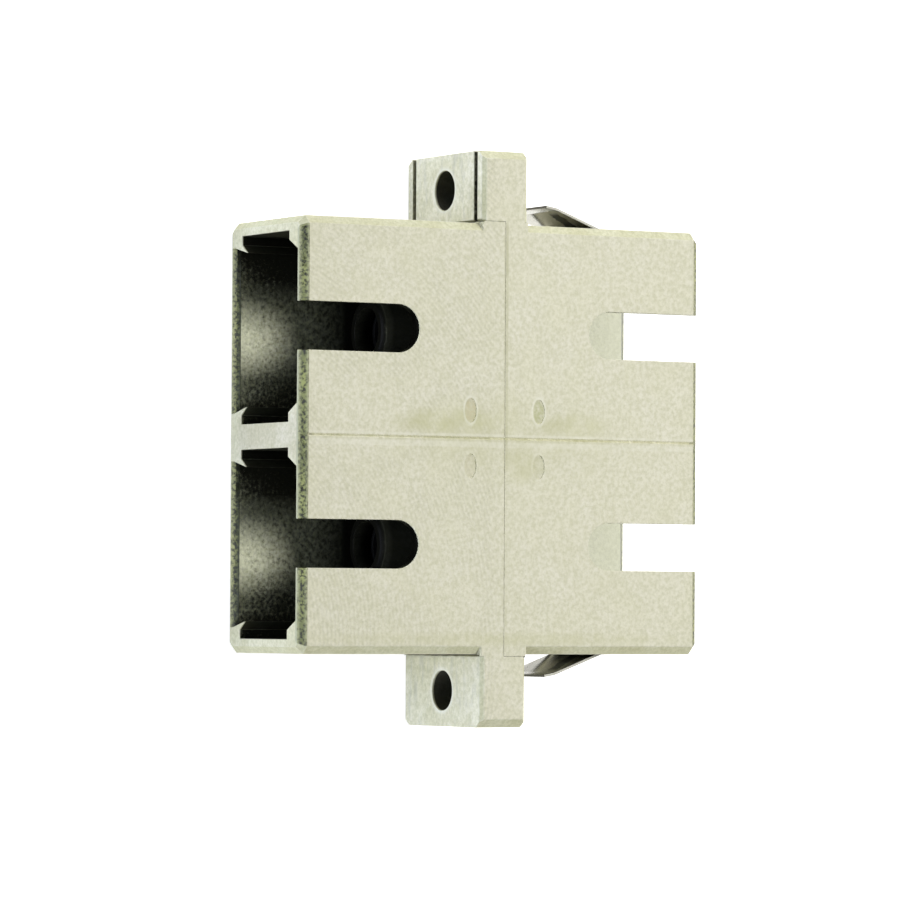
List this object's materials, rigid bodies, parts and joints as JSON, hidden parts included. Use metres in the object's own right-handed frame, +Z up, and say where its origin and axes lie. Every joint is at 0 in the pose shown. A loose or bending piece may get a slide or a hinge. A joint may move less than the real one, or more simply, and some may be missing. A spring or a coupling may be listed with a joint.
{
  "type": "sc duplex fiber adapter",
  "caption": "Duplex SC fibre adapter: a flat beige housing joined at mid-length, open ports at both ends with key slots, drilled screw ears and a sprung steel panel clip.",
  "frame": {"origin": "below the middle of the parting plane, on the plain broad face that the adapter lies on", "axes": "+X across the ports from port_a to port_b, +Y along the fibres towards the clip's end, +Z up through the thickness towards the key slots"},
  "size_m": [0.0342, 0.0274, 0.0093],
  "materials": {
    "housing": "fine satin moulded PBT, beige",
    "latch": "smooth moulded PBT, natural",
    "spring_steel": "bright rolled stainless spring sheet",
    "sleeve": "polished white zirconia"
  },
  "bodies": {
    "root": {"front_housing": "housing", "rear_housing": "housing", "panel_clip": "spring_steel", "port_a_front_latch": "latch", "port_a_rear_latch": "latch", "port_b_front_latch": "latch", "port_b_rear_latch": "latch", "port_a_split_sleeve": "sleeve", "port_b_split_sleeve": "sleeve"}
  },
  "joints": []
}
